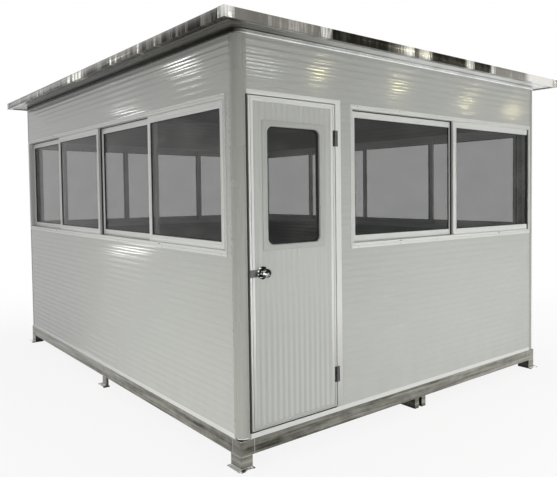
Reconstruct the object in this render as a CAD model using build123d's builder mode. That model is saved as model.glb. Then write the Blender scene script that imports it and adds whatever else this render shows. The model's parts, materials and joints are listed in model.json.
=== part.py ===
from build123d import *
import os

os.makedirs("parts", exist_ok=True)

# Guard booth, millimetres. +X runs along the door face, +Y to the back, +Z up.
# The origin is on the ground, under the middle of the plan.

# ---- driving dimensions -------------------------------------------------
booth_width = 3000          # outside of the base frame along X
booth_depth = 4350          # outside of the base frame along Y
wall_thickness = 70         # sandwich panel, and the leg of the corner post
corner_radius = 45          # rounded outer corner of the posts

tube_wall = 4               # wall of every steel tube
foot_height = 75            # ground to the underside of the base frame
leg_width = 76              # corner leg along X, flush with the frame's corner
leg_depth = 113             # and along Y
plate_thickness = 8
plate_proud = 30            # how far a foot plate stands out from its foot
anchor_hole_diameter = 12
anchor_hole_inset = 15      # hole centre to the plate's edge
side_foot_thickness = 20    # upright half way along each side
side_foot_width = 80
lug_width = 42              # one of the paired lugs under the end beams
lug_slot = 30               # slot between the two lugs
lug_depth = 150

corner_tube_size = 90       # square uprights that the beams butt against
beam_height = 90
beam_width = 60
joist_size = 60
joist_count = 6
floor_thickness = 30        # floor board, as high as the wall tracks

lower_wall_height = 1022    # track to the underside of the window band
window_head_drop = 17       # door head to the top of the window band
upper_wall_height = 305     # door head to the cornice
cornice_height = 30
cornice_proud = 6           # how far the cornice stands out from the walls

roof_thickness = 53
roof_overhang = 146
fascia_thickness = 4
fascia_lip = 40             # how far its top and bottom lips reach inwards
fascia_joint = 2            # joint between two lengths, under the corner cap
cap_length = 66
cap_thickness = 2

window_frame_side = 16
window_frame_head = 30
window_frame_sill = 37
window_frame_proud = 4
sash_stile = 42             # also the overlap of two neighbouring sashes
sash_top_rail = 48
sash_bottom_rail = 45
sash_thickness = 22
outer_sash_setback = 8      # wall face to the outer sash
track_gap = 6               # between the outer and the inner sash
glass_thickness = 5
side_window_inset = 118     # front corner to the side windows
front_inner_slide = 12      # the sashes stand a little off their closed places
front_outer_slide = 27      # this one reaches into the jamb
side_near_slide = 25
side_far_slide = 34

door_width = 633
door_height = 1940
door_thickness = 40
door_lock_gap = 7           # post to leaf
door_hinge_gap = 6          # leaf to jamb
door_top_gap = 5
door_bottom_gap = 7
door_stop_gap = 5           # back of the leaf to the stop behind it
door_stop_overlap = 22      # how far the stop reaches behind the leaf
door_jamb_width = 44
door_head_height = 28
door_stile = 34
door_top_rail = 30
door_bottom_rail = 23
door_panel_recess = 2
pier_width = 82             # wall between the door frame and the window

door_light_width = 383      # clear glass of the door
door_light_height = 692
door_light_drop = 169       # top of the leaf to the clear glass
door_light_radius = 38
light_trim_width = 34
light_trim_proud = 8
light_trim_radius = 6       # outer corners of the trim
light_seat = 9              # how much of the pane the trim covers

hinge_length = 100
hinge_radius = 6
hinge_pin_radius = 3
hinge_clearance = 0.05
hinge_knuckle_gap = 0.5
hinge_plate_thickness = 2.5
hinge_plate_width = 20
hinge_barrel_gap = 1.5      # barrel to the other half's plate
hinge_low_centre = 210      # above the bottom of the leaf
hinge_high_centre = 1726

knob_drop = 161             # below the clear glass of the door
knob_inset = 86             # from the lock edge of the leaf
rose_radius = 38
rose_thickness = 6
spindle_radius = 8
spindle_clearance = 0.06
spindle_hole_radius = 12
knob_neck_radius = 12
knob_neck_length = 20
knob_radius = 28
knob_length = 34
guard_height = 44
guard_thickness = 3

# ---- worked out ---------------------------------------------------------
half_width = booth_width / 2
half_depth = booth_depth / 2
frame_top = foot_height + beam_height
wall_bottom = frame_top + floor_thickness
window_bottom = wall_bottom + lower_wall_height

door_left = -half_width + wall_thickness + door_lock_gap
door_right = door_left + door_width
door_bottom = wall_bottom + door_bottom_gap
door_top = door_bottom + door_height
jamb_left = door_right + door_hinge_gap
jamb_right = jamb_left + door_jamb_width
head_bottom = door_top + door_top_gap
head_top = head_bottom + door_head_height
pier_right = jamb_right + pier_width
window_top = head_top - window_head_drop
wall_top = head_top + upper_wall_height
roof_bottom = wall_top + cornice_height
roof_top = roof_bottom + roof_thickness

# A wall's plane lies in its outer face, with its normal pointing out of the
# booth, its x to the right for someone outside, and its y upwards.
front_plane = Plane(origin=(0, -half_depth, 0), x_dir=(1, 0, 0), z_dir=(0, -1, 0))
back_plane = Plane(origin=(0, half_depth, 0), x_dir=(-1, 0, 0), z_dir=(0, 1, 0))
left_plane = Plane(origin=(-half_width, 0, 0), x_dir=(0, -1, 0), z_dir=(-1, 0, 0))
right_plane = Plane(origin=(half_width, 0, 0), x_dir=(0, 1, 0), z_dir=(1, 0, 0))
corners = [(x, y) for x in (-1, 1) for y in (-1, 1)]


def save(builder, label):
    """Name a finished sub-part and write its STEP file."""
    builder.part.label = label
    export_step(builder.part, f"parts/{label}.step")


def patch(left, right, bottom, top, mode=Mode.ADD):
    """A rectangle in the current sketch, given by its four sides."""
    with Locations(((left + right) / 2, (bottom + top) / 2)):
        Rectangle(right - left, top - bottom, mode=mode)


# ---- feet and base frame ------------------------------------------------
def corner_patch(side_x, side_y, proud, width, depth, mode=Mode.ADD):
    """A rectangle reaching inwards from a point proud of the frame's corner."""
    centre_x = half_width + proud - width / 2
    centre_y = half_depth + proud - depth / 2
    with Locations((side_x * centre_x, side_y * centre_y)):
        Rectangle(width, depth, mode=mode)


hole_out_x = half_width + plate_proud - anchor_hole_inset
hole_out_y = half_depth + plate_proud - anchor_hole_inset
hole_in_x = half_width - leg_width + anchor_hole_inset
hole_in_y = half_depth - leg_depth + anchor_hole_inset
anchor_holes = ((hole_out_x, hole_out_y), (hole_out_x, hole_in_y), (hole_in_x, hole_out_y))

with BuildPart() as corner_legs:
    for side_x, side_y in corners:
        with BuildSketch(Plane.XY):
            corner_patch(side_x, side_y, plate_proud, leg_width + plate_proud, leg_depth + plate_proud)
            for hole_x, hole_y in anchor_holes:
                with Locations((side_x * hole_x, side_y * hole_y)):
                    Circle(anchor_hole_diameter / 2, mode=Mode.SUBTRACT)
        extrude(amount=plate_thickness)
        with BuildSketch(Plane.XY.offset(plate_thickness)):
            corner_patch(side_x, side_y, 0, leg_width, leg_depth)
            corner_patch(
                side_x, side_y, -tube_wall,
                leg_width - 2 * tube_wall, leg_depth - 2 * tube_wall, mode=Mode.SUBTRACT,
            )
        extrude(amount=foot_height - plate_thickness)
save(corner_legs, "corner_legs")

with BuildPart() as middle_feet:
    for side_x in (-1, 1):
        with BuildSketch(Plane.XY):
            with Locations((side_x * (half_width + (plate_proud - side_foot_thickness) / 2), 0)):
                Rectangle(side_foot_thickness + plate_proud, side_foot_width + 2 * plate_proud)
        extrude(amount=plate_thickness)
        with BuildSketch(Plane.XY.offset(plate_thickness)):
            with Locations((side_x * (half_width - side_foot_thickness / 2), 0)):
                Rectangle(side_foot_thickness, side_foot_width)
        extrude(amount=foot_height - plate_thickness)
    for side_y in (-1, 1):
        with BuildSketch(Plane.XY):
            with Locations((0, side_y * (half_depth - lug_depth / 2))):
                with GridLocations(lug_width + lug_slot, lug_depth, 2, 1):
                    Rectangle(lug_width, lug_depth)
        extrude(amount=foot_height)
save(middle_feet, "middle_feet")

with BuildPart() as frame_corners:
    for side_x, side_y in corners:
        with BuildSketch(Plane.XY.offset(foot_height)):
            corner_patch(side_x, side_y, 0, corner_tube_size, corner_tube_size)
            corner_patch(
                side_x, side_y, -tube_wall,
                corner_tube_size - 2 * tube_wall, corner_tube_size - 2 * tube_wall, mode=Mode.SUBTRACT,
            )
        extrude(amount=beam_height)
save(frame_corners, "frame_corners")

with BuildPart() as base_beams:
    for side in (-1, 1):
        with BuildSketch(Plane.YZ.offset(-half_width + corner_tube_size)):
            with Locations((side * (half_depth - beam_width / 2), foot_height + beam_height / 2)):
                Rectangle(beam_width, beam_height)
                Rectangle(beam_width - 2 * tube_wall, beam_height - 2 * tube_wall, mode=Mode.SUBTRACT)
        extrude(amount=booth_width - 2 * corner_tube_size)
        with BuildSketch(Plane.XZ.offset(-half_depth + corner_tube_size)):
            with Locations((side * (half_width - beam_width / 2), foot_height + beam_height / 2)):
                Rectangle(beam_width, beam_height)
                Rectangle(beam_width - 2 * tube_wall, beam_height - 2 * tube_wall, mode=Mode.SUBTRACT)
        extrude(amount=booth_depth - 2 * corner_tube_size)
save(base_beams, "base_beams")

joist_spacing = (booth_depth - 2 * beam_width) / (joist_count + 1)
with BuildPart() as floor_joists:
    with BuildSketch(Plane.YZ.offset(-half_width + beam_width)):
        with Locations((0, frame_top - joist_size / 2)):
            with GridLocations(joist_spacing, 0, joist_count, 1):
                Rectangle(joist_size, joist_size)
                Rectangle(joist_size - 2 * tube_wall, joist_size - 2 * tube_wall, mode=Mode.SUBTRACT)
    extrude(amount=booth_width - 2 * beam_width)
save(floor_joists, "floor_joists")

with BuildPart() as floor_panel:
    with BuildSketch(Plane.XY.offset(frame_top)):
        Rectangle(booth_width - 2 * wall_thickness, booth_depth - 2 * wall_thickness)
    extrude(amount=floor_thickness)
save(floor_panel, "floor_panel")

# ---- tracks, posts and wall panels --------------------------------------
post_edge_x = half_width - wall_thickness
post_edge_y = half_depth - wall_thickness

with BuildPart() as wall_tracks:
    for plane, edge in (
        (front_plane, post_edge_x), (back_plane, post_edge_x),
        (left_plane, post_edge_y), (right_plane, post_edge_y),
    ):
        with BuildSketch(plane):
            patch(-edge, edge, frame_top, wall_bottom)
        extrude(amount=-wall_thickness)
save(wall_tracks, "wall_tracks")

with BuildPart() as corner_posts:
    for side_x, side_y in corners:
        with BuildSketch(Plane.XY.offset(frame_top)):
            with BuildLine():
                outer_x = side_x * half_width
                outer_y = side_y * half_depth
                inner_x = side_x * post_edge_x
                inner_y = side_y * post_edge_y
                Polyline(
                    (outer_x, outer_y), (outer_x, inner_y), (inner_x, inner_y),
                    (inner_x, outer_y), close=True,
                )
            make_face()
            corner = vertices().sort_by_distance((outer_x, outer_y, frame_top))[0]
            fillet(corner, corner_radius)
        extrude(amount=wall_top - frame_top)
save(corner_posts, "corner_posts")


def wall_panel(label, plane, *patches):
    """One sandwich panel, cut from the wall's plane inwards."""
    with BuildPart() as panel:
        with BuildSketch(plane):
            for left, right, bottom, top in patches:
                patch(left, right, bottom, top)
        extrude(amount=-wall_thickness)
    save(panel, label)


wall_panel(
    "front_upper_panel", front_plane,
    (-post_edge_x, jamb_right, head_top, wall_top), (jamb_right, post_edge_x, window_top, wall_top),
)
wall_panel("front_pier", front_plane, (jamb_right, pier_right, wall_bottom, window_top))
wall_panel("front_lower_panel", front_plane, (pier_right, post_edge_x, wall_bottom, window_bottom))
wall_panel("back_upper_panel", back_plane, (-post_edge_x, post_edge_x, window_top, wall_top))
wall_panel("back_lower_panel", back_plane, (-post_edge_x, post_edge_x, wall_bottom, window_bottom))
for name, plane, towards_front in (("left", left_plane, 1), ("right", right_plane, -1)):
    strip = sorted((towards_front * post_edge_y, towards_front * (half_depth - side_window_inset)))
    wall_panel(f"{name}_upper_panel", plane, (-post_edge_y, post_edge_y, window_top, wall_top))
    wall_panel(f"{name}_lower_panel", plane, (-post_edge_y, post_edge_y, wall_bottom, window_bottom))
    wall_panel(f"{name}_front_strip", plane, (strip[0], strip[1], window_bottom, window_top))

# ---- sliding windows ----------------------------------------------------
def sliding_window(name, plane, left, right, outer_sashes, slides):
    """Frame, sashes and panes of one window. Closed, neighbouring sashes
    overlap by one stile. Those numbered in outer_sashes, from the left, run in
    the outer track, and slides says how far each stands from its closed place."""
    sash_count = len(slides)
    clear_left = left + window_frame_side
    clear_right = right - window_frame_side
    clear_bottom = window_bottom + window_frame_sill
    clear_top = window_top - window_frame_head
    sash_width = (clear_right - clear_left + (sash_count - 1) * sash_stile) / sash_count

    with BuildPart() as frame:
        with BuildSketch(plane.offset(window_frame_proud)):
            patch(left, right, window_bottom, window_top)
            patch(clear_left, clear_right, clear_bottom, clear_top, mode=Mode.SUBTRACT)
        extrude(amount=-wall_thickness - window_frame_proud)
    save(frame, f"{name}_window_frame")

    def sash_place(number):
        """Left and right edge of a sash, and how far its face is set back."""
        start = clear_left + number * (sash_width - sash_stile) + slides[number]
        setback = outer_sash_setback
        if number not in outer_sashes:
            setback = outer_sash_setback + sash_thickness + track_gap
        return start, start + sash_width, setback

    with BuildPart() as sashes:
        for number in range(sash_count):
            start, end, setback = sash_place(number)
            with BuildSketch(plane.offset(-setback)):
                patch(max(start, clear_left), min(end, clear_right), clear_bottom, clear_top)
                patch(
                    start + sash_stile, end - sash_stile,
                    clear_bottom + sash_bottom_rail, clear_top - sash_top_rail, mode=Mode.SUBTRACT,
                )
            extrude(amount=-sash_thickness)
    save(sashes, f"{name}_window_sashes")

    with BuildPart() as panes:
        for number in range(sash_count):
            start, end, setback = sash_place(number)
            with BuildSketch(plane.offset(-setback - (sash_thickness - glass_thickness) / 2)):
                patch(
                    start + sash_stile, end - sash_stile,
                    clear_bottom + sash_bottom_rail, clear_top - sash_top_rail,
                )
            extrude(amount=-glass_thickness)
    save(panes, f"{name}_window_glass")


side_window_end = half_depth - side_window_inset
front_slides = (front_inner_slide, front_outer_slide)
left_slides = (0, -side_far_slide, 0, -side_near_slide)
right_slides = tuple(-slide for slide in reversed(left_slides))
sliding_window("front", front_plane, pier_right, post_edge_x, (1,), front_slides)
sliding_window("back", back_plane, -post_edge_x, post_edge_x, (1,), (0, 0, 0))
sliding_window("left", left_plane, -post_edge_y, side_window_end, (1, 3), left_slides)
sliding_window("right", right_plane, -side_window_end, post_edge_y, (0, 2), right_slides)

# ---- cornice and roof ---------------------------------------------------
with BuildPart() as cornice:
    with BuildSketch(Plane.XY.offset(wall_top)):
        RectangleRounded(
            booth_width + 2 * cornice_proud, booth_depth + 2 * cornice_proud, corner_radius + cornice_proud
        )
        Rectangle(2 * post_edge_x, 2 * post_edge_y, mode=Mode.SUBTRACT)
    extrude(amount=cornice_height)
save(cornice, "cornice")

roof_half_x = half_width + roof_overhang
roof_half_y = half_depth + roof_overhang
with BuildPart() as roof_panel:
    with BuildSketch(Plane.XY.offset(roof_bottom)):
        Rectangle(2 * (roof_half_x - fascia_thickness), 2 * (roof_half_y - fascia_thickness))
    extrude(amount=roof_thickness)
save(roof_panel, "roof_panel")


def fascia_ring(bottom, height, ring_width):
    """One mitred layer of the fascia, in four lengths with open joints."""
    with BuildSketch(Plane.XY.offset(bottom)) as ring:
        Rectangle(2 * roof_half_x, 2 * roof_half_y)
        Rectangle(2 * (roof_half_x - ring_width), 2 * (roof_half_y - ring_width), mode=Mode.SUBTRACT)
        for side_x, side_y in corners:
            with Locations(Location((side_x * roof_half_x, side_y * roof_half_y), side_x * side_y * 45)):
                Rectangle(4 * fascia_lip, fascia_joint, mode=Mode.SUBTRACT)
    extrude(ring.sketch, amount=height)


fascia_bottom = roof_bottom - fascia_thickness
fascia_height = roof_thickness + 2 * fascia_thickness
with BuildPart() as roof_fascia:
    fascia_ring(fascia_bottom, fascia_thickness, fascia_lip)
    fascia_ring(roof_bottom, roof_thickness, fascia_thickness)
    fascia_ring(roof_top, fascia_thickness, fascia_lip)
save(roof_fascia, "roof_fascia")

with BuildPart() as fascia_caps:
    for side_x, side_y in corners:
        with BuildSketch(Plane.XY.offset(fascia_bottom)):
            cap_corner = (side_x * (roof_half_x + cap_thickness), side_y * (roof_half_y + cap_thickness))
            with Locations(cap_corner):
                Rectangle(2 * cap_length, 2 * cap_length)
            Rectangle(2 * roof_half_x, 2 * roof_half_y, mode=Mode.SUBTRACT)
            far_x = side_x * (roof_half_x + cap_thickness + cap_length)
            far_y = side_y * (roof_half_y + cap_thickness + cap_length)
            with Locations((far_x, side_y * roof_half_y)):
                Rectangle(2 * cap_length, 6 * cap_length, mode=Mode.SUBTRACT)
            with Locations((side_x * roof_half_x, far_y)):
                Rectangle(6 * cap_length, 2 * cap_length, mode=Mode.SUBTRACT)
        extrude(amount=fascia_height)
save(fascia_caps, "fascia_corner_caps")

# ---- door frame ---------------------------------------------------------
stop_depth = wall_thickness - door_thickness - door_stop_gap
with BuildPart() as door_frame:
    with BuildSketch(front_plane):
        patch(jamb_left, jamb_right, wall_bottom, head_top)
        patch(-post_edge_x, jamb_right, head_bottom, head_top)
    extrude(amount=-wall_thickness)
    with BuildSketch(front_plane.offset(-wall_thickness)):
        patch(-post_edge_x, jamb_right, wall_bottom, head_top)
        patch(
            door_left + door_stop_overlap, door_right - door_stop_overlap,
            wall_bottom, door_top - door_stop_overlap, mode=Mode.SUBTRACT,
        )
    extrude(amount=stop_depth)
save(door_frame, "door_frame")

# ---- door leaf ----------------------------------------------------------
panel_left = door_left + door_stile
panel_right = door_right - door_stile
panel_bottom = door_bottom + door_bottom_rail
panel_top = door_top - door_top_rail
panel_thickness = door_thickness - 2 * door_panel_recess
light_bottom = door_top - door_light_drop - door_light_height
light_centre = ((door_left + door_right) / 2, light_bottom + door_light_height / 2)
knob_centre = (door_left + knob_inset, light_bottom - knob_drop)

with BuildPart() as door_leaf_frame:
    with BuildSketch(front_plane):
        patch(door_left, door_right, door_bottom, door_top)
        patch(panel_left, panel_right, panel_bottom, panel_top, mode=Mode.SUBTRACT)
    extrude(amount=-door_thickness)
save(door_leaf_frame, "door_leaf_frame")


def rounded_light(margin, mode=Mode.ADD):
    """The door's rounded window outline, grown by a margin."""
    with Locations(light_centre):
        RectangleRounded(
            door_light_width + 2 * margin, door_light_height + 2 * margin,
            door_light_radius + margin, mode=mode,
        )


with BuildPart() as door_leaf_panel:
    with BuildSketch(front_plane.offset(-door_panel_recess)):
        patch(panel_left, panel_right, panel_bottom, panel_top)
        rounded_light(light_seat, mode=Mode.SUBTRACT)
        with Locations(knob_centre):
            Circle(spindle_hole_radius, mode=Mode.SUBTRACT)
    extrude(amount=-panel_thickness)
save(door_leaf_panel, "door_leaf_panel")

pane_depth = (door_thickness - glass_thickness) / 2
with BuildPart() as door_glass:
    with BuildSketch(front_plane.offset(-pane_depth)):
        rounded_light(light_seat)
    extrude(amount=-glass_thickness)
save(door_glass, "door_glass")

# Each trim is a flange on the panel's face and a liner down to the pane.
flange_thickness = light_trim_proud
liner_depth = pane_depth - door_panel_recess
with BuildPart() as door_window_trim:
    for flange_start, liner_start, inwards in (
        (-door_panel_recess, -door_panel_recess, -1),
        (-door_thickness + door_panel_recess, -door_thickness + door_panel_recess, 1),
    ):
        with BuildSketch(front_plane.offset(flange_start)):
            with Locations(light_centre):
                RectangleRounded(
                    door_light_width + 2 * light_trim_width, door_light_height + 2 * light_trim_width,
                    light_trim_radius,
                )
            rounded_light(0, mode=Mode.SUBTRACT)
        extrude(amount=-inwards * flange_thickness)
        with BuildSketch(front_plane.offset(liner_start)):
            rounded_light(light_seat)
            rounded_light(0, mode=Mode.SUBTRACT)
        extrude(amount=inwards * liner_depth)
save(door_window_trim, "door_window_trim")

# ---- lock ---------------------------------------------------------------
with BuildPart() as knob_roses:
    for face, outwards in ((-door_panel_recess, 1), (-door_thickness + door_panel_recess, -1)):
        with BuildSketch(front_plane.offset(face)):
            with Locations(knob_centre):
                Circle(rose_radius)
                Circle(spindle_radius + spindle_clearance, mode=Mode.SUBTRACT)
        extrude(amount=outwards * rose_thickness)
save(knob_roses, "knob_roses")

knob_start = rose_thickness - door_panel_recess + 0.3
with BuildPart() as door_knobs:
    with BuildSketch(front_plane.offset(knob_start)):
        with Locations(knob_centre):
            Circle(spindle_radius)
    extrude(amount=-door_thickness - 2 * knob_start)
    for start, outwards in ((knob_start, 1), (-door_thickness - knob_start, -1)):
        with BuildSketch(front_plane.offset(start)):
            with Locations(knob_centre):
                Circle(knob_neck_radius)
        extrude(amount=outwards * knob_neck_length)
        with BuildSketch(front_plane.offset(start + outwards * knob_neck_length)):
            with Locations(knob_centre):
                Circle(knob_radius)
        extrude(amount=outwards * knob_length)
    rims = edges().filter_by(GeomType.CIRCLE).filter_by(lambda e: abs(e.radius - knob_radius) < 0.01)
    fillet(rims, knob_length * 0.42)
save(door_knobs, "door_knobs")

with BuildPart() as latch_guard:
    with BuildSketch(front_plane):
        patch(
            door_left, door_left + knob_inset - rose_radius,
            knob_centre[1] - guard_height / 2, knob_centre[1] + guard_height / 2,
        )
    extrude(amount=guard_thickness)
save(latch_guard, "latch_guard")

# ---- hinges -------------------------------------------------------------
hinge_x = door_right + door_hinge_gap / 2
hinge_y = -half_depth - hinge_radius
hinge_centres = (door_bottom + hinge_low_centre, door_bottom + hinge_high_centre)
plate_near = hinge_radius + hinge_barrel_gap


def hinge_half(side, knuckle_low, knuckle_high, plate_low):
    """A knuckle on the hinge axis and the plate on its side of the gap."""
    with BuildSketch(Plane.XY.offset(knuckle_low)) as knuckle:
        with Locations((hinge_x, hinge_y)):
            Circle(hinge_radius)
        with Locations((hinge_x + side * plate_near / 2, -half_depth - hinge_plate_thickness / 2)):
            Rectangle(plate_near, hinge_plate_thickness)
    extrude(knuckle.sketch, amount=knuckle_high - knuckle_low)
    with BuildSketch(Plane.XY.offset(plate_low)) as hinge_plate:
        plate_x = hinge_x + side * (plate_near + hinge_plate_width) / 2
        with Locations((plate_x, -half_depth - hinge_plate_thickness / 2)):
            Rectangle(hinge_plate_width - plate_near, hinge_plate_thickness)
    extrude(hinge_plate.sketch, amount=hinge_length)


with BuildPart() as hinge_jamb_halves:
    for centre in hinge_centres:
        low = centre - hinge_length / 2
        hinge_half(1, low, centre, low)
        with BuildSketch(Plane.XY.offset(centre)):
            with Locations((hinge_x, hinge_y)):
                Circle(hinge_pin_radius)
        extrude(amount=hinge_length / 2)
save(hinge_jamb_halves, "hinge_jamb_halves")

with BuildPart() as hinge_door_halves:
    for centre in hinge_centres:
        low = centre - hinge_length / 2
        hinge_half(-1, centre + hinge_knuckle_gap, centre + hinge_length / 2, low)
    for centre in hinge_centres:
        with BuildSketch(Plane.XY.offset(centre)):
            with Locations((hinge_x, hinge_y)):
                Circle(hinge_pin_radius + hinge_clearance)
        extrude(amount=hinge_length, mode=Mode.SUBTRACT)
save(hinge_door_halves, "hinge_door_halves")

print("booth", booth_width, booth_depth, roof_top + fascia_thickness)
print("door axis", hinge_x, hinge_y, "knob", knob_centre, "anchors", hole_out_x, hole_out_y, hole_in_y)
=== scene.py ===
import json
import math

import bmesh
import bpy
import numpy as np
from mathutils import Matrix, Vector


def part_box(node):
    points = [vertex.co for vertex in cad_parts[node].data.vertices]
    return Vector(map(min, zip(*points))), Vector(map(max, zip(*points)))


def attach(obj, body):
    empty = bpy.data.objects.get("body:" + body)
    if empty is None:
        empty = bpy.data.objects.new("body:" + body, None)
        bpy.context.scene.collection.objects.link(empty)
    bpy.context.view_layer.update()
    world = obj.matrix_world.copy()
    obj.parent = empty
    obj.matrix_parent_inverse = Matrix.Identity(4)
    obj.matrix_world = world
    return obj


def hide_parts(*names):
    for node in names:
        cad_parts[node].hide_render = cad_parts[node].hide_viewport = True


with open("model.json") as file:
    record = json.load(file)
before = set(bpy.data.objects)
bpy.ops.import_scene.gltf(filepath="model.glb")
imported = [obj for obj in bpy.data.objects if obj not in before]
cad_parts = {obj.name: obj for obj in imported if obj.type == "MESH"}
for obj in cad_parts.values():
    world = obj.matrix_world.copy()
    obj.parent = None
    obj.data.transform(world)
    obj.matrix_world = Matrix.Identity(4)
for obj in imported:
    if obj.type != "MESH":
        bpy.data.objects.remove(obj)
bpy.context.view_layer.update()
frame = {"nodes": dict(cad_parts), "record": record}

mm = 0.001


# wraps a socket, so that sums, differences and products of values become Math nodes
class Wire:
    def __init__(self, nodes, socket):
        self.nodes = nodes
        self.socket = socket

    def __add__(self, other):
        return self.nodes.math("ADD", self, other)

    def __sub__(self, other):
        return self.nodes.math("SUBTRACT", self, other)

    def __rsub__(self, other):
        return self.nodes.math("SUBTRACT", other, self)

    def __mul__(self, other):
        return self.nodes.math("MULTIPLY", self, other)

    __radd__ = __add__
    __rmul__ = __mul__


# a node tree that is filled with one call per node
class NodeMaker:
    def __init__(self, owner):
        owner.use_nodes = True
        self.tree = owner.node_tree
        self.tree.nodes.clear()

    # a node's type without its prefix, its settings, then the values or links of its sockets
    def node(self, kind, settings, sockets):
        made = self.tree.nodes.new("ShaderNode" + kind)
        for key, value in settings.items():
            if key == "stops":
                ramp = made.color_ramp
                while len(ramp.elements) < len(value):
                    ramp.elements.new(0.5)
                for element, (place, colour) in zip(ramp.elements, value):
                    element.position = place
                    element.color = (*colour, 1)
            else:
                setattr(made, key, value)
        for key, value in sockets.items():
            socket = made.inputs[key.replace("_", " ") if isinstance(key, str) else key]
            if isinstance(value, Wire):
                value = value.socket
            if isinstance(value, bpy.types.NodeSocket):
                self.tree.links.new(value, socket)
            elif socket.type == "RGBA":
                socket.default_value = (*value, 1)
            else:
                socket.default_value = value
        return made

    # the same, for one output of the node as a value
    def value(self, kind, settings, sockets, output=0):
        return Wire(self, self.node(kind, settings, sockets).outputs[output])

    def math(self, operation, *values):
        return self.value("Math", {"operation": operation}, dict(enumerate(values)))

    # 1 for what the camera, a mirror or a pane shows directly, and 0 for light on its way to a surface
    def seenDirectly(self):
        path = self.node("LightPath", {}, {}).outputs
        seen = self.math("MAXIMUM", path["Is Camera Ray"], path["Is Glossy Ray"])
        return self.math("MAXIMUM", seen, path["Is Transmission Ray"])


# one material: a Principled shader, fixed numbers on its sockets, and nodes that feed what varies
class Finish(NodeMaker):
    def __init__(self, name, **fixed):
        self.material = bpy.data.materials.new(name)
        super().__init__(self.material)
        self.shader = self.node("BsdfPrincipled", {}, fixed)
        self.output = self.node("OutputMaterial", {}, {"Surface": self.shader.outputs[0]})
        self.here = self.value("TexCoord", {}, {}, "Object")
        parts = self.node("SeparateXYZ", {}, {"Vector": self.here}).outputs
        self.x, self.y, self.z = (Wire(self, part) for part in parts)

    # 0 at low and 1 at high, straight between and flat beyond
    def rise(self, value, low, high):
        return self.value("MapRange", {"clamp": True}, {0: value, 1: low, 2: high, 3: 0.0, 4: 1.0})

    # noise whose grains have the given length in metres along x, y and z, or one length all ways
    def noise(self, size, detail, roughness, seed):
        scale = [1 / s for s in np.broadcast_to(size, 3).tolist()]
        scaled = self.value("Mapping", {}, {
            "Vector": self.here, "Scale": scale, "Location": (seed, seed * 1.7, -seed)})
        return self.value("TexNoise", {}, {
            "Vector": scaled, "Scale": 1.0, "Detail": detail, "Roughness": roughness}, "Fac")

    # a mix of two colours: first where the factor is 0, second where it is 1
    def blend(self, factor, first, second):
        return self.value("Mix", {"data_type": "RGBA"}, {0: factor, 6: first, 7: second}, 2)

    # one colour, darker by a share where the factor is 0 and lighter by another where it is 1
    def mottle(self, factor, colour, darker, lighter):
        return self.blend(factor, [c * darker for c in colour], [c * lighter for c in colour])

    # a colour read from (place, colour) stops
    def ramp(self, value, stops):
        return self.value("ValToRGB", {"stops": stops}, {0: value})

    # links values to the shader's sockets of those names
    def feed(self, **sockets):
        for key, value in sockets.items():
            self.tree.links.new(value.socket, self.shader.inputs[key.replace("_", " ")])

    # closes a finish: its colour, its roughness, and how far in metres the surface rises
    def dressed(self, colour, roughness, height):
        bump = self.value("Bump", {}, {"Height": height, "Strength": 1.0, "Distance": 1.0})
        self.feed(Base_Color=colour, Roughness=roughness, Normal=bump)
        return self


# index quads of a grid of rows x cols points, closed round either way on request:
# quad (r, c) joins (r, c), (r, c + 1), (r + 1, c + 1) and (r + 1, c), at index r * cols + c
def gridFaces(rows, cols, closeRows, closeCols):
    r = np.arange(rows if closeRows else rows - 1)[:, None]
    c = np.arange(cols if closeCols else cols - 1)[None, :]
    nextR, nextC = (r + 1) % rows, (c + 1) % cols
    quads = np.stack([r * cols + c, r * cols + nextC, nextR * cols + nextC, nextR * cols + c], -1)
    return quads.reshape(-1, 4)


# a closed profile of (u, v) points carried along a path:
# point(i, j) = origin(i) + u(j) * axisU(i) + v(j) * axisV(i); an open path gets a flat end on each side
def carry(profile, origins, axesU, axesV, closedPath=False):
    profile, origins = np.asarray(profile, float), np.asarray(origins, float)
    axesU = np.broadcast_to(np.asarray(axesU, float), origins.shape)
    axesV = np.broadcast_to(np.asarray(axesV, float), origins.shape)
    points = (origins[:, None] + profile[None, :, :1] * axesU[:, None]
              + profile[None, :, 1:] * axesV[:, None])
    rows, cols = points.shape[:2]
    faces = gridFaces(rows, cols, closedPath, True).tolist()
    if not closedPath:
        faces.append(list(range(cols)))
        faces.append(list(range((rows - 1) * cols, rows * cols))[::-1])
    return points.reshape(-1, 3), faces


# a new object in the scene
def newObject(name, data):
    made = bpy.data.objects.new(name, data)
    bpy.context.scene.collection.objects.link(made)
    return made


# puts a finished mesh in the scene as one piece of the part
def addPiece(name, mesh, body, finish, replaced):
    mesh.materials.append(finish.material)
    piece = newObject(name, mesh)
    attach(piece, body)
    if replaced:
        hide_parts(*replaced)
    return piece


# joins shells into one object with outward faces; edges sharper than the angle in degrees stay crisp
def makePiece(name, shells, slot, replaced=(), finish=None, body="booth", sharp=35):
    points, faces, start = [], [], 0
    for shellPoints, shellFaces in shells:
        points.append(shellPoints)
        faces += [[i + start for i in face] for face in shellFaces]
        start += len(shellPoints)
    mesh = bpy.data.meshes.new(name)
    mesh.from_pydata(np.concatenate(points).tolist(), [], faces)
    work = bmesh.new()
    work.from_mesh(mesh)
    bmesh.ops.recalc_face_normals(work, faces=work.faces)
    work.to_mesh(mesh)
    work.free()
    mesh.shade_smooth()
    mesh.set_sharp_from_angle(angle=math.radians(sharp))
    addPiece(name, mesh, body, finish or finishes[slot], replaced)


# how plain solids are eased: doubles merged, flat joins dissolved, edges rounded in segments
easing = {"merge": 0.01 * mm, "flat": math.radians(1), "segments": 2}


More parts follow.
